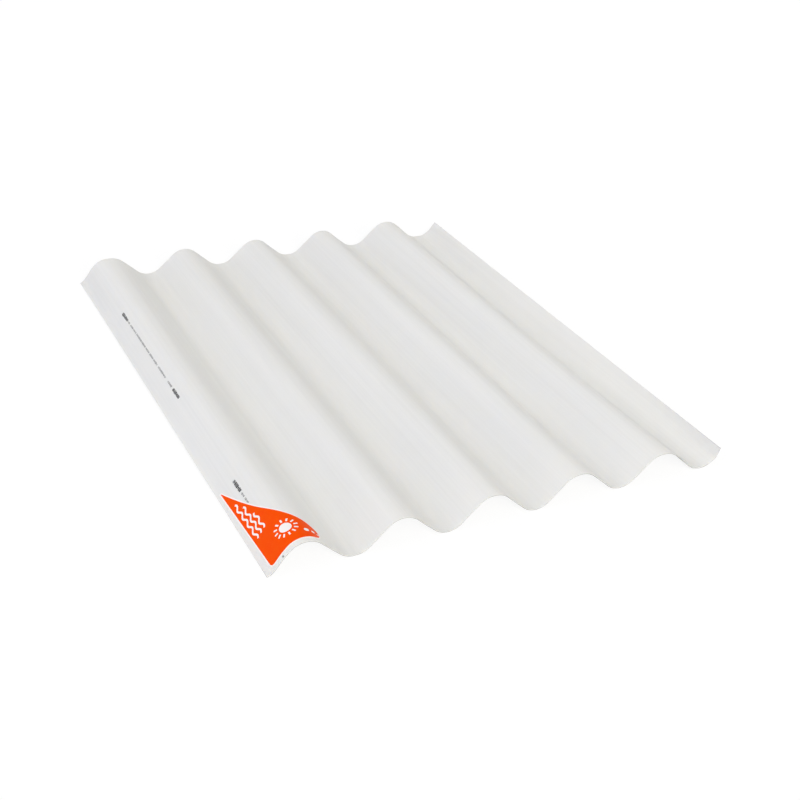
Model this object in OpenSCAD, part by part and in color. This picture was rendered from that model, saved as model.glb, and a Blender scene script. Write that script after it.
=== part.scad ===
// Corrugated PVC roofing sheet with a self-adhesive label on one corner.
// The waves run along Y and follow each other along X. The origin is on the floor under the
// middle of the sheet, which lies on the undersides of its valleys.

/* [Sheet] */
// Length of the sheet, along its waves
sheet_length = 1220; // [610:10:3660]
// Overall width of the sheet, across its waves
sheet_width = 920; // [800:5:1100]
// Thickness of the sheet's wall
wall = 1.2; // [0.8:0.1:3]

/* [Wave] */
// Distance from one crest to the next
wave_pitch = 177; // [170:1:200]
// Rise from valley to crest, measured on the same face
wave_height = 51; // [40:1:55]
// Radius of every crest and valley, at the middle of the wall
bend_radius = 41; // [30:1:46]
// Distance from the sheet's left edge to its first crest
edge_to_crest = 70; // [60:1:84]

/* [Label] */
// Length of the label along the sheet's left edge
label_length = 240; // [200:1:300]
// Width of the label along the sheet's near end, measured over the wave
label_width = 119; // [100:1:140]
// Radius of the label's rounded corner at the sheet's corner
label_corner = 10; // [3:1:20]
// Radius of the label's broad rounded end, which lies over the first crest
label_nose = 25; // [15:1:28]
// Radius of the label's far tip
label_tip = 3; // [2:0.5:5]
// How far round the broad end the hollow side leaves it, in degrees up from the near end
label_nose_turn = 46; // [40:1:50]
// The same at the far tip
label_tip_turn = 19; // [12:1:22]
// How far the label is turned on the sheet, counter-clockwise, in degrees
label_turn = 1.5; // [0:0.5:3]
// Distance from the sheet's left edge to the label's far tip
label_side_margin = 5.5; // [3:0.5:15]
// Distance from the sheet's near end to the label's own corner
label_end_margin = 9.5; // [4:0.5:30]
// Thickness of the label's film
label_film = 0.15; // [0.1:0.05:0.4]

/* [Hidden] */

// A bend is drawn this much larger than the circle its flanks would just touch, so that the
// two faces cross at a definite line.
bend_overlap = 0.001;
bend_facets = 180;
corner_steps = 8;
hollow_steps = 16;
// How far the hollow side keeps its first and last directions, as a share of its length
hollow_reach = 0.37;

// What lies under a wavy face is drawn solid down to solid_foot and then trimmed at trim_foot.
// A cutting body reaches past what it cuts by cutter_overrun.
solid_foot = -2 * bend_radius;
trim_foot = -bend_radius;
trim_height = bend_radius + 2 * wave_height;
cutter_overrun = 1;

left_edge = -sheet_width / 2;
near_end = -sheet_length / 2;
first_crest = left_edge + edge_to_crest;
half_pitch = wave_pitch / 2;
last_wave = ceil((sheet_width - edge_to_crest) / wave_pitch);
crest_centre_z = wall / 2 + wave_height - bend_radius - bend_overlap;
valley_centre_z = wall / 2 + bend_radius + bend_overlap;

// Each flank is the straight line that touches a crest's circle and the next valley's.
centre_rise = valley_centre_z - crest_centre_z;
centre_distance = norm([half_pitch, centre_rise]);
flank_slope = asin(2 * bend_radius / centre_distance) - atan2(centre_rise, half_pitch);
flank_length = sqrt(centre_distance ^ 2 - (2 * bend_radius) ^ 2);

// Where a bend of radius r meets its flank, from the bend's centre
function bend_end(r) = r * [sin(flank_slope), cos(flank_slope)];

// A bar along the whole sheet, a little longer than it by the overhang at both ends
module along_sheet(overhang) {
    rotate([90, 0, 0])
        linear_extrude(sheet_length + 2 * overhang, center = true)
            children();
}

// One wave with straight lines for its bends, from valley to valley, and solid below
module straight_wave(crest_radius, valley_radius) {
    crest = bend_end(crest_radius);
    valley = bend_end(valley_radius);
    polygon([
        [-half_pitch, solid_foot],
        [-half_pitch, valley_centre_z - valley.y],
        [-half_pitch + valley.x, valley_centre_z - valley.y],
        [-crest.x, crest_centre_z + crest.y],
        [crest.x, crest_centre_z + crest.y],
        [half_pitch - valley.x, valley_centre_z - valley.y],
        [half_pitch, valley_centre_z - valley.y],
        [half_pitch, solid_foot]
    ]);
}

// All that lies under a wavy face, which is offset from the middle of the wall
module under_face(offset, overhang) {
    crest_radius = bend_radius + offset;
    valley_radius = bend_radius - offset;
    difference() {
        for (i = [-1 : last_wave])
            translate([first_crest + i * wave_pitch, 0])
                union() {
                    along_sheet(overhang)
                        straight_wave(crest_radius, valley_radius);
                    along_sheet(overhang)
                        translate([0, crest_centre_z])
                            circle(crest_radius + bend_overlap, $fn = bend_facets);
                }
        for (i = [-1 : last_wave])
            translate([first_crest + (i + 0.5) * wave_pitch, 0])
                along_sheet(overhang + cutter_overrun)
                    translate([0, valley_centre_z])
                        circle(valley_radius + bend_overlap, $fn = bend_facets);
    }
}

// A layer of the sheet's length and width that follows the waves
module wavy_layer(lower_offset, upper_offset) {
    difference() {
        intersection() {
            under_face(upper_offset, 0);
            translate([left_edge, near_end, trim_foot])
                cube([sheet_width, sheet_length, trim_height]);
        }
        under_face(lower_offset, cutter_overrun);
    }
}

module corrugated_sheet() {
    color("whitesmoke")
        wavy_layer(-wall / 2, wall / 2);
}

// The upper face, where the label is stuck, and its length from a crest's top to the crest's
// end and to the flank's end
upper_crest_radius = bend_radius + wall / 2;
upper_valley_radius = bend_radius - wall / 2;
crest_end_x = bend_end(upper_crest_radius).x;
flank_end_x = half_pitch - bend_end(upper_valley_radius).x;
crest_run = arc_length(upper_crest_radius, flank_slope);
flank_run = crest_run + flank_length;

function arc_length(r, angle) = r * angle * PI / 180;
function arc_angle(r, length) = length / r * 180 / PI;

// Length along the upper face from a crest's top to the point that lies x beside it
function run_to(x) =
    x <= crest_end_x ? arc_length(upper_crest_radius, asin(x / upper_crest_radius))
    : x <= flank_end_x ? crest_run + (x - crest_end_x) / cos(flank_slope)
    : flank_run
        + arc_length(upper_valley_radius, flank_slope - asin((half_pitch - x) / upper_valley_radius));

// The same the other way round: how far beside the crest a point lies after a run along the face
function beside(run) =
    run <= crest_run ? upper_crest_radius * sin(arc_angle(upper_crest_radius, run))
    : run <= flank_run ? crest_end_x + (run - crest_run) * cos(flank_slope)
    : half_pitch
        - upper_valley_radius * sin(flank_slope - arc_angle(upper_valley_radius, run - flank_run));

// Where a point of the flat sheet comes to lie, seen from above. Its x is measured over the wave
// from the left edge, and its y from the near end.
function laid(p) =
    let (run = p.x - run_to(edge_to_crest))
    [first_crest + sign(run) * beside(abs(run)), near_end + p.y];

// Where the label's own corner lies on the flat sheet, and where a point that is measured from
// this corner comes to lie once the label is turned
label_corner_place = [label_side_margin + label_length * sin(label_turn), label_end_margin];
function on_sheet(p) =
    label_corner_place
    + [p.x * cos(label_turn) - p.y * sin(label_turn), p.x * sin(label_turn) + p.y * cos(label_turn)];

// The flat label is a three-cornered sail with round corners and one hollow side.
function turned(angle) = [cos(angle), sin(angle)];
function round_corner(centre, r, from, to) = [
    for (k = [0 : corner_steps])
        centre + r * turned(from + (to - from) * k / corner_steps)
];

// A point of the smooth curve that leaves a along a direction and arrives at b along another
function sweep_point(a, leaving, arriving, b, t) =
    let (reach = hollow_reach * norm(b - a))
    a * (1 - t) ^ 3
    + (a + reach * leaving) * 3 * t * (1 - t) ^ 2
    + (b - reach * arriving) * 3 * t ^ 2 * (1 - t)
    + b * t ^ 3;

function label_outline() =
    let (
        nose_centre = [label_width - label_nose, label_nose],
        tip_centre = [label_tip, label_length - label_tip],
        hollow_start = nose_centre + label_nose * turned(label_nose_turn),
        hollow_stop = tip_centre + label_tip * turned(label_tip_turn)
    )
    concat(
        round_corner([label_corner, label_corner], label_corner, 180, 270),
        round_corner(nose_centre, label_nose, -90, label_nose_turn),
        [
            for (k = [1 : hollow_steps - 1])
                sweep_point(
                    hollow_start, turned(label_nose_turn + 90),
                    turned(label_tip_turn + 90), hollow_stop, k / hollow_steps
                )
        ],
        round_corner(tip_centre, label_tip, label_tip_turn, 180)
    );

module corner_label() {
    color("orangered")
        intersection() {
            wavy_layer(wall / 2, wall / 2 + label_film);
            linear_extrude(trim_height)
                polygon([for (p = label_outline()) laid(on_sheet(p))]);
        }
}

corrugated_sheet();
corner_label();
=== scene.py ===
"""A white corrugated PVC roofing sheet with a printed label on one corner.

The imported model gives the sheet's place and overall size. This script repeats the wave's few
driving sizes, builds the sheet, its label and its factory marks on that wave, and lights them.
"""

import bisect
import math
import random

import bpy
from mathutils import Matrix, Vector, noise
from mathutils.geometry import delaunay_2d_cdt


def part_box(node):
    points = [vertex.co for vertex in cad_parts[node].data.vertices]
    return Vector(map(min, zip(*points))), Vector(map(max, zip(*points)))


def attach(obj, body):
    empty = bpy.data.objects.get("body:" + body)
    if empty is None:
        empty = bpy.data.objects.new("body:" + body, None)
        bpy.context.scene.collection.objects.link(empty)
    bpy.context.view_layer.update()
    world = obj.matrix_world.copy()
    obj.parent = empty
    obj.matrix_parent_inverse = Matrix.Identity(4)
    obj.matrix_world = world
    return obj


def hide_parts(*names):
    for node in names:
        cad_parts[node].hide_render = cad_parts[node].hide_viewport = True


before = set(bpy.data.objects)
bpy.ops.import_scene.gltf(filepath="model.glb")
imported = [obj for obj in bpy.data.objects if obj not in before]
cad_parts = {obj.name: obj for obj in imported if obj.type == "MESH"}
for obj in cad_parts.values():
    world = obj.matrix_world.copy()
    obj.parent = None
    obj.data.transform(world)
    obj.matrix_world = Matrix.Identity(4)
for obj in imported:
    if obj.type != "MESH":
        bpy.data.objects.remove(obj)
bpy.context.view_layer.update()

MM = 0.001

# The wave, with the same driving sizes as the part
PITCH = 177 * MM
WAVE_HEIGHT = 51 * MM
BEND_RADIUS = 41 * MM
WALL = 1.2 * MM
EDGE_TO_CREST = 70 * MM

# The label, with the same driving sizes as the part
LABEL_LENGTH = 240 * MM
LABEL_WIDTH = 119 * MM
LABEL_CORNER = 10 * MM
LABEL_NOSE = 25 * MM
LABEL_TIP = 3 * MM
LABEL_NOSE_TURN = math.radians(46)
LABEL_TIP_TURN = math.radians(19)
# How far the hollow side keeps its first and last directions, as a share of its length
HOLLOW_REACH = 0.37
LABEL_TURN = math.radians(1.5)
LABEL_SIDE_MARGIN = 5.5 * MM
LABEL_END_MARGIN = 9.5 * MM

sheet_low, sheet_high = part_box("corrugated_sheet")
LEFT_EDGE = sheet_low.x
RIGHT_EDGE = sheet_high.x
NEAR_END = sheet_low.y
SHEET_LENGTH = sheet_high.y - sheet_low.y
FIRST_CREST = LEFT_EDGE + EDGE_TO_CREST

# Each flank is the straight line that touches a crest's arc and the next valley's.
HALF_PITCH = PITCH / 2
CREST_RADIUS = BEND_RADIUS + WALL / 2
VALLEY_RADIUS = BEND_RADIUS - WALL / 2
CREST_CENTRE_Z = WALL / 2 + WAVE_HEIGHT - BEND_RADIUS
VALLEY_CENTRE_Z = WALL / 2 + BEND_RADIUS
CENTRE_RISE = VALLEY_CENTRE_Z - CREST_CENTRE_Z
CENTRE_DISTANCE = math.hypot(HALF_PITCH, CENTRE_RISE)
SLOPE = math.asin(2 * BEND_RADIUS / CENTRE_DISTANCE) - math.atan2(CENTRE_RISE, HALF_PITCH)
FLANK = math.sqrt(CENTRE_DISTANCE**2 - (2 * BEND_RADIUS) ** 2)
CREST_RUN = CREST_RADIUS * SLOPE
HALF_WAVE_RUN = CREST_RUN + FLANK + VALLEY_RADIUS * SLOPE

# The wall isn't perfectly even: it rises and falls by this much over these distances.
RIPPLE_HEIGHT = 0.25 * MM
RIPPLE_ACROSS = 130 * MM
RIPPLE_ALONG = 420 * MM
RIPPLE_SEED = 3.7

# The sheet's two sawn ends have sprung a little out of the regular wave. Each row is one wave, from
# the left: how far, in mm, the wall stands out at its crest, its right flank, its valley and the
# flank after that.
NEAR_END_SPRING = (
    (0.5, -0.5, -0.5, 0.5),
    (0.5, -1.0, 0.0, 3.0),
    (1.0, -1.0, 0.0, 2.5),
    (1.2, 2.0, 1.5, -1.5),
    (1.0, 7.5, 1.5),
)
FAR_END_SPRING = (
    (1.2, 2.0, 0.5, -0.5),
    (0.0, -0.5, -0.5, -0.5),
    (-1.0, -1.5, -0.5, 0.0),
    (-0.5, -2.0, 0.5, 2.0),
    (0.5, 0.5, -1.0),
)
# The side edges have curled at their ends. Each row is a distance from the side edge, then how far
# the wall stands out there at the near end and at the far end, all in mm.
LEFT_CURL = ((0, -5, -3), (10, -6, -2), (35, -0.5, 5))
RIGHT_CURL = ((19, -8, -5), (10, -5.5, -3), (0, 1.5, -1))
# The left side edge wasn't trimmed quite straight: it runs out by this much at the far end.
LEFT_RUN_OUT = 2.5 * MM


# ---------------------------------------------------------------- the wavy face


def upper_face(run):
    """x, z and tilt of the upper face at a run along it from the first crest's top."""
    wave, rest = divmod(run + HALF_WAVE_RUN, 2 * HALF_WAVE_RUN)
    rest -= HALF_WAVE_RUN
    side = math.copysign(1, rest)
    reach = abs(rest)
    if reach < CREST_RUN:
        tilt = reach / CREST_RADIUS
        x = CREST_RADIUS * math.sin(tilt)
        z = CREST_CENTRE_Z + CREST_RADIUS * math.cos(tilt)
    elif reach < CREST_RUN + FLANK:
        tilt = SLOPE
        x = CREST_RADIUS * math.sin(tilt) + (reach - CREST_RUN) * math.cos(tilt)
        z = CREST_CENTRE_Z + CREST_RADIUS * math.cos(tilt) - (reach - CREST_RUN) * math.sin(tilt)
    else:
        tilt = (HALF_WAVE_RUN - reach) / VALLEY_RADIUS
        x = HALF_PITCH - VALLEY_RADIUS * math.sin(tilt)
        z = VALLEY_CENTRE_Z - VALLEY_RADIUS * math.cos(tilt)
    return FIRST_CREST + wave * PITCH + side * x, z, side * tilt


def run_at(x):
    """The run along the upper face at which it reaches x, found by halving."""
    halvings = 60
    low, high = -2 * HALF_WAVE_RUN, 20 * HALF_WAVE_RUN
    for _ in range(halvings):
        middle = (low + high) / 2
        if upper_face(middle)[0] < x:
            low = middle
        else:
            high = middle
    return low


# The right edge is cut square to the wall, so its lower corner is the outermost one.
LEFT_RUN = run_at(LEFT_EDGE)
DEVELOPED_WIDTH = run_at(RIGHT_EDGE - WALL * math.sin(SLOPE)) - LEFT_RUN


def sprung_rows():
    """Rows of a place across the sheet and how far the wall stands out there at the near end and
    at the far end."""
    near, far = ([value for wave in end for value in wave] for end in (NEAR_END_SPRING, FAR_END_SPRING))
    quarters = [(FIRST_CREST + PITCH * k / 4, near[k] * MM, far[k] * MM) for k in range(len(near))]
    left = [(LEFT_EDGE + inwards * MM, a * MM, b * MM) for inwards, a, b in LEFT_CURL]
    right = [(RIGHT_EDGE - inwards * MM, a * MM, b * MM) for inwards, a, b in RIGHT_CURL]
    return left + quarters + right


SPRUNG_ROWS = sprung_rows()


def smooth_between(rows, at):
    """The values of a table at a place between its rows, on smooth curves through all of them."""
    after = min(max(bisect.bisect([row[0] for row in rows], at), 1), len(rows) - 1)
    start, stop = rows[after - 1], rows[after]
    width = stop[0] - start[0]
    t = min(max((at - start[0]) / width, 0), 1)

    def turn(row, column):
        low, high = rows[max(row - 1, 0)], rows[min(row + 1, len(rows) - 1)]
        return (high[column] - low[column]) / (high[0] - low[0]) * width

    values = []
    for column in range(1, len(start)):
        rise = stop[column] - start[column]
        leaving, arriving = turn(after - 1, column), turn(after, column)
        bend = t * t * (3 * rise - 2 * leaving - arriving) + t**3 * (leaving + arriving - 2 * rise)
        values.append(start[column] + t * leaving + bend)
    return values


def end_share(distance):
    """How much of an end's own shape is left at a distance from it, as a share of the length: all
    of it close to the end, and hardly any from a third of the length on."""
    return (1 - distance) ** 8 * (1 + 8 * distance)


def sprung_face(across, along):
    """x and z of the upper face as the sheet really lies, its ends a little sprung."""
    x, z, tilt = upper_face(LEFT_RUN + across)
    near, far = smooth_between(SPRUNG_ROWS, x)
    stand_out = near * end_share(along / SHEET_LENGTH) + far * end_share(1 - along / SHEET_LENGTH)
    # The wall can't sink into the floor.
    return Vector((x + stand_out * math.sin(tilt), max(z + stand_out * math.cos(tilt), WALL)))


def place(across, along, lift=0.0):
    """The point of the upper face at these distances from the left edge, measured over the wave,
    and from the near end, raised off the face by lift."""
    step = 0.5 * MM
    x, z = sprung_face(across, along)
    onwards = (sprung_face(across + step, along) - sprung_face(across - step, along)).normalized()
    unevenness = noise.noise(Vector((across / RIPPLE_ACROSS, along / RIPPLE_ALONG, RIPPLE_SEED)))
    lift += RIPPLE_HEIGHT * (0.5 + 0.5 * unevenness)
    return Vector((x - lift * onwards.y, NEAR_END + along, z + lift * onwards.x))


# ---------------------------------------------------------------- meshes


def new_piece(name, points, faces, flat_places, materials, indices=None, sharp_angle=30):
    """A mesh piece that rides on the part, with its flat places in metres as its UV map."""
    mesh = bpy.data.meshes.new(name)
    mesh.from_pydata(points, [], faces)
    uv = mesh.uv_layers.new(name="flat")
    for loop in mesh.loops:
        uv.data[loop.index].uv = flat_places[loop.vertex_index]
    for material in materials:
        mesh.materials.append(material)
    if indices:
        mesh.polygons.foreach_set("material_index", indices)
    mesh.polygons.foreach_set("use_smooth", [True] * len(mesh.polygons))
    mesh.set_sharp_from_angle(angle=math.radians(sharp_angle))
    mesh.validate()
    piece = bpy.data.objects.new(name, mesh)
    bpy.context.scene.collection.objects.link(piece)
    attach(piece, "root")
    return piece


def sheet_piece(name, materials):
    """The sheet: rings of its section, one behind the other, with small chamfers at every edge."""
    station_spacing = 2.5 * MM
    ring_spacing = 20 * MM
    chamfer = 0.15 * MM
    stations = math.ceil(DEVELOPED_WIDTH / station_spacing)

    def ring(along, inset):
        left = inset - LEFT_RUN_OUT * (along / SHEET_LENGTH) ** 4
        right = DEVELOPED_WIDTH - inset
        first, last = left + chamfer, right - chamfer
        spread = [first + (last - first) * i / stations for i in range(stations + 1)]
        top, foot = -inset, -WALL + inset
        return (
            [(a, along, top) for a in spread]
            + [(right, along, top - chamfer), (right, along, foot + chamfer)]
            + [(a, along, foot) for a in reversed(spread)]
            + [(left, along, foot + chamfer), (left, along, top - chamfer)]
        )

    spans = math.ceil((SHEET_LENGTH - 2 * chamfer) / ring_spacing)
    between = SHEET_LENGTH - 2 * chamfer
    rings = [ring(0, chamfer)]
    rings += [ring(chamfer + between * i / spans, 0) for i in range(spans + 1)]
    rings.append(ring(SHEET_LENGTH, chamfer))

    size = len(rings[0])
    flat = [p for r in rings for p in r]
    faces, indices = [], []
    for r in range(len(rings) - 1):
        for i in range(size):
            j = (i + 1) % size
            faces.append((r * size + i, r * size + j, (r + 1) * size + j, (r + 1) * size + i))
            trimmed = not (i < stations or stations + 3 <= i < 2 * stations + 3)
            indices.append(1 if trimmed else 0)
    # The sawn ends: a strip of faces between the upper and the lower edge
    for start, flip in ((0, False), ((len(rings) - 1) * size, True)):
        top = list(range(stations + 1))
        foot = [2 * stations + 3 - i for i in top]
        cap = [(top[i], foot[i], foot[i + 1], top[i + 1]) for i in range(stations)]
        cap.append((top[-1], foot[-1], stations + 2, stations + 1))
        cap.append((top[0], size - 1, size - 2, foot[0]))
        for face in cap:
            face = tuple(start + k for k in face)
            faces.append(face[::-1] if flip else face)
            indices.append(1)
    points = [place(*p) for p in flat]
    return new_piece(name, points, faces, [p[:2] for p in flat], materials, indices)


def cut_flat(outlines, cell, long_cell):
    """The outlines cut into flat triangles along a grid, which bends with the wave. Gives the
    triangles' corners, the triangles, and for each one the numbers of the outlines it lies in."""
    corners, loops, lines = [], [], []
    for outline in outlines:
        loops.append(list(range(len(corners), len(corners) + len(outline))))
        corners += [Vector(p) for p in outline]
    low = [min(p[axis] for p in corners) for axis in (0, 1)]
    high = [max(p[axis] for p in corners) for axis in (0, 1)]
    for axis, step in ((0, cell), (1, long_cell)):
        for k in range(math.floor(low[axis] / step) + 1, math.ceil(high[axis] / step)):
            ends = [Vector(low), Vector(high)]
            ends[0][axis] = ends[1][axis] = k * step
            lines.append((len(corners), len(corners) + 1))
            corners += ends
    all_triangles, same_spot = 0, 1e-7
    cut = delaunay_2d_cdt(corners, lines, loops, all_triangles, same_spot)
    spots, triangles, inside = cut[0], cut[2], cut[5]
    kept = [(t, homes) for t, homes in zip(triangles, inside) if homes]
    return spots, [t for t, _ in kept], [homes for _, homes in kept]


def laid_piece(name, outlines, paints, thickness, materials):
    """A thin film laid on the wave. Where outlines lie inside each other, the last one's paint, a
    number in the materials, covers the others."""
    spots, triangles, homes = cut_flat(outlines, cell=2.5 * MM, long_cell=10 * MM)
    count = len(spots)
    points = [place(*p, thickness) for p in spots] + [place(*p) for p in spots]
    faces, indices = [], []
    sides = {}
    for triangle, outlines_here in zip(triangles, homes):
        a, b, c = triangle
        if (spots[b] - spots[a]).cross(spots[c] - spots[a]) < 0:
            b, c = c, b
        faces += [(a, b, c), (count + c, count + b, count + a)]
        indices += [paints[max(outlines_here)]] * 2
        for edge in ((a, b), (b, c), (c, a)):
            sides[edge] = paints[max(outlines_here)]
    for (a, b), paint in sides.items():
        if (b, a) not in sides:
            faces.append((b, a, count + a, count + b))
            indices.append(paint)
    flat_places = [tuple(p) for p in spots] * 2
    return new_piece(name, points, faces, flat_places, materials, indices)


def inset(outline, distance):
    """The outline moved inwards by a distance, with its corners kept sharp."""
    least_spread = 0.05
    moved = []
    count = len(outline)
    for i in range(count):
        before, here, after = (Vector(outline[(i + k) % count]) for k in (-1, 0, 1))
        into, out = (here - before).normalized(), (after - here).normalized()
        normal = Vector((-into.y - out.y, into.x + out.x)).normalized()
        spread = max(least_spread, normal.dot(Vector((-into.y, into.x))))
        moved.append(here + normal * distance / spread)
    return moved


# ---------------------------------------------------------------- flat outlines


def turned(angle):
    """The direction at an angle, counter-clockwise from across the sheet."""
    return Vector((math.cos(angle), math.sin(angle)))


def round_corner(centre, radius, start, stop, steps=10):
    """Points of a round corner between two directions from its centre."""
    return [centre + radius * turned(start + (stop - start) * k / steps) for k in range(steps + 1)]


def label_outline():
    """The label laid flat: a three-cornered sail with round corners and one hollow side."""
    hollow_steps = 40
    corner = Vector((LABEL_CORNER, LABEL_CORNER))
    nose = Vector((LABEL_WIDTH - LABEL_NOSE, LABEL_NOSE))
    tip = Vector((LABEL_TIP, LABEL_LENGTH - LABEL_TIP))
    start = nose + LABEL_NOSE * turned(LABEL_NOSE_TURN)
    stop = tip + LABEL_TIP * turned(LABEL_TIP_TURN)
    reach = HOLLOW_REACH * (stop - start).length
    leaving = start + reach * turned(LABEL_NOSE_TURN + math.pi / 2)
    arriving = stop - reach * turned(LABEL_TIP_TURN + math.pi / 2)
    hollow = []
    for k in range(1, hollow_steps):
        t = k / hollow_steps
        first_half = start * (1 - t) ** 3 + leaving * 3 * t * (1 - t) ** 2
        hollow.append(first_half + arriving * 3 * t**2 * (1 - t) + stop * t**3)
    outline = round_corner(corner, LABEL_CORNER, math.pi, 1.5 * math.pi)
    outline += round_corner(nose, LABEL_NOSE, -math.pi / 2, LABEL_NOSE_TURN) + hollow
    return on_label(outline + round_corner(tip, LABEL_TIP, LABEL_TIP_TURN, math.pi))


def on_label(outline):
    """An outline drawn from the label's own corner, moved to where the label is stuck."""
    turn = Matrix.Rotation(LABEL_TURN, 2)
    corner = Vector((LABEL_SIDE_MARGIN + LABEL_LENGTH * math.sin(LABEL_TURN), LABEL_END_MARGIN))
    return [corner + turn @ Vector(p) for p in outline]


def disc(centre, radius, steps=40):
    """A round outline."""
    return [centre + radius * turned(math.tau * k / steps) for k in range(steps)]


def bar(start, end, width):
    """A straight bar's outline, from one point to another."""
    along = (end - start).normalized()
    side = Vector((-along.y, along.x)) * width / 2
    return [start - side, end - side, end + side, start + side]


def wavy_bar(start, length, rise, waves, width, steps_per_wave=24):
    """A wavy band's outline, which runs along the sheet from its start."""
    steps = round(steps_per_wave * waves)
    left, right = [], []
    for k in range(steps + 1):
        turn = math.tau * waves * k / steps
        point = start + Vector((rise * math.sin(turn), length * k / steps))
        lean = rise * math.tau * waves / length * math.cos(turn)
        side = Vector((1, -lean)).normalized() * width / 2
        right.append(point + side)
        left.append(point - side)
    return right + left[::-1]


# ---------------------------------------------------------------- materials


def srgb(code):
    """A written sRGB colour such as E8E8E4, as the linear colour that a shader takes."""
    parts = [int(code[i : i + 2], 16) / 255 for i in (0, 2, 4)]
    return tuple(c / 12.92 if c <= 0.04045 else ((c + 0.055) / 1.055) ** 2.4 for c in parts) + (1.0,)


def add(tree, kind, inputs=None, **settings):
    """Adds a node. inputs gives each socket, by name or number, a value or another node's output."""
    node = tree.nodes.new(kind)
    for name, value in settings.items():
        setattr(node, name, value)
    for socket, value in (inputs or {}).items():
        if isinstance(value, bpy.types.NodeSocket):
            tree.links.new(value, node.inputs[socket])
        else:
            node.inputs[socket].default_value = value
    return node


def new_material(name):
    """An empty node material, with its output node."""
    material = bpy.data.materials.new(name)
    material.use_nodes = True
    material.node_tree.nodes.clear()
    return material, material.node_tree, material.node_tree.nodes.new("ShaderNodeOutputMaterial")


# Rigid PVC bends light this much, and its worn skin keeps little of a clean one's shine.
PVC_IOR = 1.53
PVC_SHINE = 0.04


def extruded_rigid_pvc():
    """Rigid PVC pushed through a long flat die and formed into waves while warm. The die leaves
    faint lines along the sheet, the opal pigment lets some light into the wall, and the skin is
    smooth enough for a soft, wide gloss."""
    material, tree, output = new_material("extruded_rigid_pvc")
    flat = add(tree, "ShaderNodeUVMap", uv_map="flat")
    # Die lines are 2 to 5 mm apart and run on for half a metre or more.
    lines = add(tree, "ShaderNodeMapping",
                {"Vector": flat.outputs["UV"], "Scale": (1 / (4.5 * MM), 1 / (600 * MM), 1)})
    die_lines = add(tree, "ShaderNodeTexNoise",
                    {"Vector": lines.outputs[0], "Scale": 1.0, "Detail": 4.0, "Roughness": 0.6},
                    noise_dimensions="2D")
    # Broader bands, about 30 mm wide, come from the die's slightly uneven gap.
    bands = add(tree, "ShaderNodeMapping",
                {"Vector": flat.outputs["UV"], "Scale": (1 / (30 * MM), 1 / (900 * MM), 1)})
    die_bands = add(tree, "ShaderNodeTexNoise",
                    {"Vector": bands.outputs[0], "Scale": 1.0, "Detail": 2.0, "Roughness": 0.5},
                    noise_dimensions="2D")
    # The pigment is mixed a little unevenly, in clouds about 160 mm wide.
    clouds = add(tree, "ShaderNodeTexNoise",
                 {"Vector": flat.outputs["UV"], "Scale": 1 / (160 * MM), "Detail": 2.0},
                 noise_dimensions="2D")
    tint = add(tree, "ShaderNodeMix",
               {0: clouds.outputs[0], 6: srgb("E8E8E4"), 7: srgb("E8E8E6")}, data_type="RGBA")
    skin_brightness = add(tree, "ShaderNodeMapRange",
                  {"Value": die_bands.outputs[0], "From Min": 0.3, "From Max": 0.7,
                   "To Min": 0.975, "To Max": 1.0})
    # Fine die lines, lighter and darker in colour. They are drawn stronger than the real ones, so their
    # light streaks also stand in for the glints along the crests: real die lines with painted highlight.
    die_lines_and_glints = add(tree, "ShaderNodeMapRange",
                       {"Value": die_lines.outputs[0], "From Min": 0.3, "From Max": 0.7,
                        "To Min": 0.981, "To Max": 1.009})
    skin_brightness = add(tree, "ShaderNodeMath", {0: skin_brightness.outputs[0], 1: die_lines_and_glints.outputs[0]},
                  operation="MULTIPLY")
    # Painted shade: the skin's colour is made a little darker towards the far end and along the left side,
    # standing in for the weaker light there. Each row has a direction, where the painted shade begins and
    # where it is full, and the light that is left.
    flat_place = add(tree, "ShaderNodeSeparateXYZ", {0: flat.outputs["UV"]})
    for side, shade_start, shade_full, shade in (("Y", 400 * MM, 1200 * MM, 0.958), ("X", 80 * MM, 20 * MM, 0.98)):
        painted_shade = add(tree, "ShaderNodeMapRange",
                      {"Value": flat_place.outputs[side], "From Min": shade_start, "From Max": shade_full,
                       "To Min": 1.0, "To Max": shade})
        skin_brightness = add(tree, "ShaderNodeMath", {0: skin_brightness.outputs[0], 1: painted_shade.outputs[0]},
                      operation="MULTIPLY")
    colour = add(tree, "ShaderNodeMix", {0: 1.0, 6: tint.outputs[2], 7: skin_brightness.outputs[0]},
                 data_type="RGBA", blend_type="MULTIPLY")
    gloss = add(tree, "ShaderNodeMapRange",
                {"Value": die_lines.outputs[0], "From Min": 0.3, "From Max": 0.7,
                 "To Min": 0.55, "To Max": 0.65})
    # The skin has a faint grain too: its real size is under half a millimetre, drawn at 1.2 mm.
    grain = add(tree, "ShaderNodeTexNoise",
                {"Vector": flat.outputs["UV"], "Scale": 1 / (1.2 * MM), "Detail": 2.0},
                noise_dimensions="2D")
    relief = add(tree, "ShaderNodeMath", {0: die_lines.outputs[0], 1: 0.75}, operation="MULTIPLY")
    relief = add(tree, "ShaderNodeMath",
                 {0: grain.outputs[0], 1: 0.05, 2: relief.outputs[0]}, operation="MULTIPLY_ADD")
    bump = add(tree, "ShaderNodeBump",
               {"Strength": 0.35, "Distance": 0.12 * MM, "Height": relief.outputs[0]})
    skin = add(tree, "ShaderNodeBsdfPrincipled", {
        "Base Color": colour.outputs[2], "Roughness": gloss.outputs[0],
        "IOR": PVC_IOR, "Specular IOR Level": PVC_SHINE,
        "Subsurface Weight": 0.3, "Subsurface Radius": (1.0, 0.85, 0.65), "Subsurface Scale": 4 * MM,
        "Normal": bump.outputs[0],
    })
    tree.links.new(skin.outputs[0], output.inputs[0])
    return material


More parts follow.
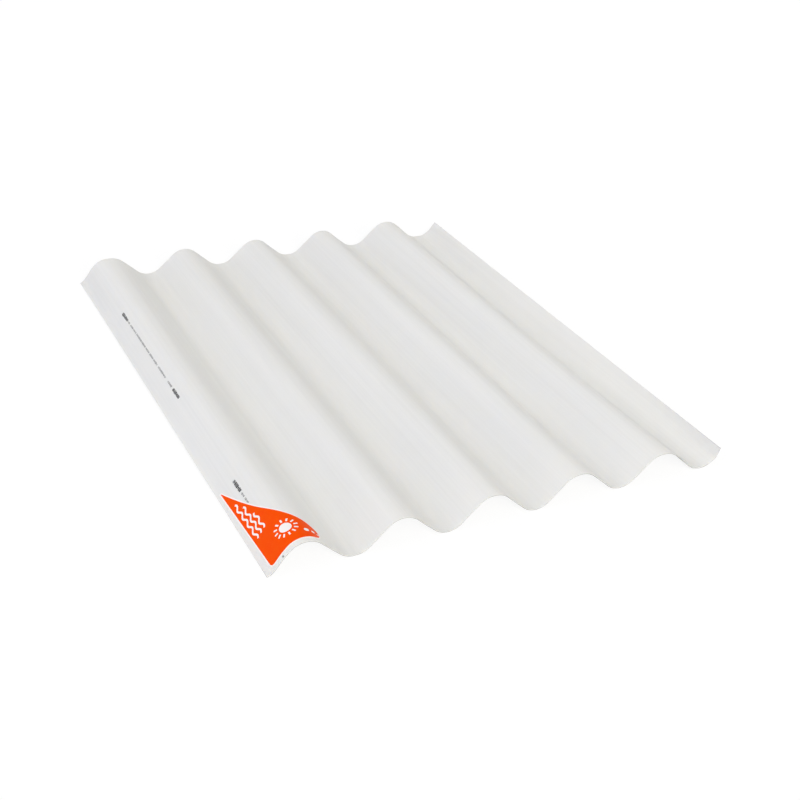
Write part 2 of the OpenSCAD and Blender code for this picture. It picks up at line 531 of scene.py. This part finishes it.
def sawn_rigid_pvc():
    """The same PVC where a saw cut it: the open cut lets light run off into the wall, so it looks
    greyer than the skin, and it is dull, with fine tooth marks."""
    material, tree, output = new_material("sawn_rigid_pvc")
    flat = add(tree, "ShaderNodeUVMap", uv_map="flat")
    # Tooth marks are about 0.4 mm apart, drawn at 1 mm.
    tooth_marks = add(tree, "ShaderNodeMapping",
                      {"Vector": flat.outputs["UV"], "Scale": (1 / (1 * MM), 1 / (20 * MM), 1)})
    teeth = add(tree, "ShaderNodeTexNoise", {"Vector": tooth_marks.outputs[0], "Scale": 1.0, "Detail": 3.0},
                noise_dimensions="2D")
    colour = add(tree, "ShaderNodeMix",
                 {0: teeth.outputs[0], 6: srgb("8E8E90"), 7: srgb("A0A0A2")}, data_type="RGBA")
    bump = add(tree, "ShaderNodeBump",
               {"Strength": 0.5, "Distance": 0.08 * MM, "Height": teeth.outputs[0]})
    cut = add(tree, "ShaderNodeBsdfPrincipled", {
        "Base Color": colour.outputs[2], "Roughness": 0.55, "IOR": PVC_IOR, "Specular IOR Level": PVC_SHINE,
        "Normal": bump.outputs[0],
    })
    tree.links.new(cut.outputs[0], output.inputs[0])
    return material


def printed_film(name, light, dark, roughness, shine=0.3):
    """Printing ink on vinyl film, under a clear varnish. The ink lies a little unevenly, and the
    varnish gives it one smooth gloss."""
    material, tree, output = new_material(name)
    flat = add(tree, "ShaderNodeUVMap", uv_map="flat")
    # The ink's unevenness is a few millimetres wide.
    cover = add(tree, "ShaderNodeTexNoise",
                {"Vector": flat.outputs["UV"], "Scale": 1 / (12 * MM), "Detail": 5.0},
                noise_dimensions="2D")
    colour = add(tree, "ShaderNodeMix", {0: cover.outputs[0], 6: srgb(light), 7: srgb(dark)},
                 data_type="RGBA")
    gloss_change = 0.04
    gloss = add(tree, "ShaderNodeMapRange",
                {"Value": cover.outputs[0], "From Min": 0.3, "From Max": 0.7,
                 "To Min": roughness - gloss_change, "To Max": roughness + gloss_change})
    # The varnish has dried with a faint orange peel, about 4 mm from bump to bump.
    orange_peel = add(tree, "ShaderNodeTexNoise",
                      {"Vector": flat.outputs["UV"], "Scale": 1 / (4 * MM), "Detail": 1.0},
                      noise_dimensions="2D")
    bump = add(tree, "ShaderNodeBump",
               {"Strength": 0.2, "Distance": 0.05 * MM, "Height": orange_peel.outputs[0]})
    ink = add(tree, "ShaderNodeBsdfPrincipled", {
        "Base Color": colour.outputs[2], "Roughness": gloss.outputs[0],
        "IOR": 1.5, "Specular IOR Level": shine, "Normal": bump.outputs[0],
    })
    tree.links.new(ink.outputs[0], output.inputs[0])
    return material


# ---------------------------------------------------------------- the pieces

rigid_pvc = extruded_rigid_pvc()
sawn_pvc = sawn_rigid_pvc()
white_film = printed_film("white_vinyl_film", "F4F0EE", "EFEBE9", 0.35)
orange_ink = printed_film("orange_printing_ink", "F45504", "F54903", 0.33, 0.02)
white_ink = printed_film("white_printing_ink", "F6F3F2", "F0ECEA", 0.35)
bold_ink = printed_film("black_marking_ink", "353535", "484848", 0.6)
fine_ink = printed_film("thin_marking_ink", "7A7A7A", "9C9C9C", 0.6)

sheet = sheet_piece("pvc_sheet", [rigid_pvc, sawn_pvc])
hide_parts("corrugated_sheet")

# The label's film and the border that it shows round its print
FILM = 0.12 * MM
BORDER = 2.5 * MM

# The label's print, placed from the label's own corner: a sun with rays
SUN = Vector((60 * MM, 44 * MM))
SUN_RADIUS = 11 * MM
RAYS = 12
RAY_START = 15 * MM
RAY_END = 22 * MM
RAY_WIDTH = 3.2 * MM
# Wavy bands: where each starts across and along, and how long it is, in mm, and its waves
BANDS = ((12, 78, 108, 4.5), (22, 80, 84, 3.5), (32, 82, 48, 2))
BAND_RISE = 2.6 * MM
BAND_WIDTH = 3.6 * MM
# Dots: each one's place across and along, and its radius, in mm
DOTS = ((90, 24, 4.5), (102, 21, 3.5), (112, 18, 2.5))


def label_motifs():
    """The outlines of what is printed on the label."""
    motifs = [disc(SUN, SUN_RADIUS)]
    for ray in range(RAYS):
        towards = turned(math.tau * ray / RAYS)
        motifs.append(bar(SUN + RAY_START * towards, SUN + RAY_END * towards, RAY_WIDTH))
    for across, along, length, waves in BANDS:
        start = Vector((across * MM, along * MM))
        motifs.append(wavy_bar(start, length * MM, BAND_RISE, waves, BAND_WIDTH))
    for across, along, radius in DOTS:
        motifs.append(disc(Vector((across * MM, along * MM)), radius * MM, 24))
    return motifs


film_edge = label_outline()
motifs = [on_label(motif) for motif in label_motifs()]
# Paints: 0 is the bare white film, 1 the orange ground and 2 the white motifs.
film = laid_piece("label_film", [film_edge, inset(film_edge, BORDER)] + motifs, [0, 1] + [2] * len(motifs),
                  FILM, [white_film, orange_ink, white_ink])
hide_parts("corner_label")

# The factory's row of upright marks, without letters, along a line at this distance from the left
# edge. It has groups of bold marks and of fine ones: where each starts and ends, in mm from the
# near end.
INK = 0.05 * MM
MARK_LINE = 42 * MM
BOLD_GROUPS = ((210, 246), (564, 603), (925, 964))
FINE_GROUPS = (
    (171, 187), (192, 205), (612, 637), (653, 702), (710, 736), (739, 763), (767, 790), (794, 820),
    (822, 858), (863, 882), (885, 903), (909, 922),
)
# A smudge of the same ink beside the near end, longer than it is wide
SMUDGE = Vector((41 * MM, 3.1 * MM))
SMUDGE_RADIUS = 1.6 * MM
SMUDGE_STRETCH = 1.6


def marks(groups, height, shortest, longest, gap, chance):
    """Groups of upright marks along the sheet, with lengths and heights drawn at random."""
    outlines = []
    for start, end in groups:
        along = start * MM
        while along < end * MM:
            length = chance.uniform(shortest, longest)
            reach = height * chance.uniform(0.6, 1.0) / 2
            stop = min(along + length, end * MM)
            near, far = MARK_LINE - reach, MARK_LINE + reach
            outlines.append([Vector(p) for p in ((near, along), (far, along), (far, stop), (near, stop))])
            along = stop + gap
    return outlines


chance = random.Random(177)
bold = marks(BOLD_GROUPS, 7.5 * MM, 1.8 * MM, 4.5 * MM, 0.9 * MM, chance)
fine = marks(FINE_GROUPS, 4.2 * MM, 1.2 * MM, 4 * MM, 1.2 * MM, chance)
fine.append([Vector((p.x, p.y * SMUDGE_STRETCH)) for p in disc(SMUDGE, SMUDGE_RADIUS, 20)])
laid_piece("marks_bold", bold, [0] * len(bold), INK, [bold_ink])
laid_piece("marks_fine", fine, [0] * len(fine), INK, [fine_ink])


# ---------------------------------------------------------------- floor, light and camera

# How much of its real depth the shadow on the floor keeps, and how brightly the floor shines back
# at the lens, a little over full white
FLOOR_SHADOW = 0.14
FLOOR_SHINE = 1.05
# The floor reaches this many metres each way.
FLOOR_HALF = 30.0
# The room's light, and how it grows towards the left and the front
ROOM_LIGHT = 0.7
ROOM_LEAN = (-0.507, -0.186, 0.0)
ROOM_COLOUR = "F1F2FE"
# Each lamp's name, light and colour, then its compass direction from the far end, its height
# and how wide it looks, all three in degrees
LAMPS = (
    ("front_lamp", 2.61, "FFF9DF", 180, 25, 40),
    ("right_lamp", 0.26, "FFFFFF", 90, 20, 10),
)
# Where the camera looks: right from straight along the sheet, down and turned on its axis, in
# degrees, then the distance to the point that it looks at, in metres
CAMERA_AZIMUTH = 30.19
CAMERA_ELEVATION = 28.60
CAMERA_ROLL = 4.26
CAMERA_DISTANCE = 2.6940
CAMERA_AIM = Vector((0.1367, -0.1982, 0.0261))
# The lens in millimetres, and its shift in widths of the frame, which is small
FOCAL_LENGTH = 59.18
FRAME_SHIFT = (-0.0888, -0.0186)


def looking(compass, elevation):
    """The direction at a compass angle, clockwise from the far end, and an angle above level."""
    level = Vector((math.sin(compass), math.cos(compass), 0)) * math.cos(elevation)
    return level + Vector((0, 0, math.sin(elevation)))


def seen_by_lens(tree):
    """One for a ray from the camera, a mirror or a glass, and nothing for a ray that lights."""
    path = add(tree, "ShaderNodeLightPath")
    seen = add(tree, "ShaderNodeMath", {0: path.outputs["Is Camera Ray"], 1: path.outputs["Is Glossy Ray"]},
               operation="MAXIMUM")
    seen = add(tree, "ShaderNodeMath", {0: seen.outputs[0], 1: path.outputs["Is Transmission Ray"]},
               operation="MAXIMUM")
    return seen.outputs[0]


def studio_floor():
    """A wide pale floor that shows the sheet's shadow faintly."""
    material, tree, output = new_material("studio_floor")
    paper = add(tree, "ShaderNodeBsdfDiffuse", {"Color": srgb("E2E2E2")})
    white = add(tree, "ShaderNodeEmission", {"Color": srgb("FFFFFF"), "Strength": FLOOR_SHINE})
    share = add(tree, "ShaderNodeMath", {0: seen_by_lens(tree), 1: 1 - FLOOR_SHADOW},
                operation="MULTIPLY")
    mix = add(tree, "ShaderNodeMixShader", {0: share.outputs[0], 1: paper.outputs[0], 2: white.outputs[0]})
    tree.links.new(mix.outputs[0], output.inputs[0])
    mesh = bpy.data.meshes.new("floor")
    corners = [(x * FLOOR_HALF, y * FLOOR_HALF, 0) for x, y in ((-1, -1), (1, -1), (1, 1), (-1, 1))]
    mesh.from_pydata(corners, [], [(0, 1, 2, 3)])
    mesh.materials.append(material)
    floor = bpy.data.objects.new("floor", mesh)
    bpy.context.scene.collection.objects.link(floor)


def studio_light():
    """A cool white room that is lightest on the left, a wide warm lamp in front, and a small one on
    the right."""
    world = bpy.data.worlds.new("studio")
    bpy.context.scene.world = world
    world.use_nodes = True
    tree = world.node_tree
    tree.nodes.clear()
    towards = add(tree, "ShaderNodeTexCoord")
    lean = add(tree, "ShaderNodeVectorMath", {0: towards.outputs["Generated"], 1: ROOM_LEAN},
               operation="DOT_PRODUCT")
    level = add(tree, "ShaderNodeMath", {0: lean.outputs["Value"], 1: ROOM_LIGHT}, operation="ADD")
    room = add(tree, "ShaderNodeBackground",
               {"Color": srgb(ROOM_COLOUR), "Strength": level.outputs[0]})
    backdrop = add(tree, "ShaderNodeBackground", {"Color": srgb("FFFFFF"), "Strength": 1.0})
    mix = add(tree, "ShaderNodeMixShader",
              {0: seen_by_lens(tree), 1: room.outputs[0], 2: backdrop.outputs[0]})
    add(tree, "ShaderNodeOutputWorld", {0: mix.outputs[0]})
    for name, light, colour, compass, elevation, spread in LAMPS:
        lamp = bpy.data.lights.new(name, "SUN")
        lamp.energy = light
        lamp.color = srgb(colour)[:3]
        lamp.angle = math.radians(spread)
        holder = bpy.data.objects.new(name, lamp)
        compass, elevation = math.radians(compass), math.radians(elevation)
        towards_lamp = looking(compass, elevation)
        holder.rotation_euler = towards_lamp.to_track_quat("Z", "Y").to_euler()
        bpy.context.scene.collection.objects.link(holder)


def camera():
    """The camera looks along the sheet from its labelled corner, turned a little on its axis."""
    azimuth, elevation = math.radians(CAMERA_AZIMUTH), math.radians(CAMERA_ELEVATION)
    forward = looking(azimuth, -elevation)
    level = forward.cross(Vector((0, 0, 1))).normalized()
    right = Matrix.Rotation(math.radians(-CAMERA_ROLL), 3, forward) @ level
    upward = right.cross(forward)
    lens = bpy.data.cameras.new("camera")
    lens.lens = FOCAL_LENGTH
    lens.shift_x, lens.shift_y = FRAME_SHIFT
    eye = bpy.data.objects.new("camera", lens)
    turn = Matrix((right, upward, -forward)).transposed().to_4x4()
    eye.matrix_world = Matrix.Translation(CAMERA_AIM - forward * CAMERA_DISTANCE) @ turn
    bpy.context.scene.collection.objects.link(eye)
    bpy.context.scene.camera = eye


studio_floor()
studio_light()
camera()
bpy.context.scene.view_settings.view_transform = "Standard"
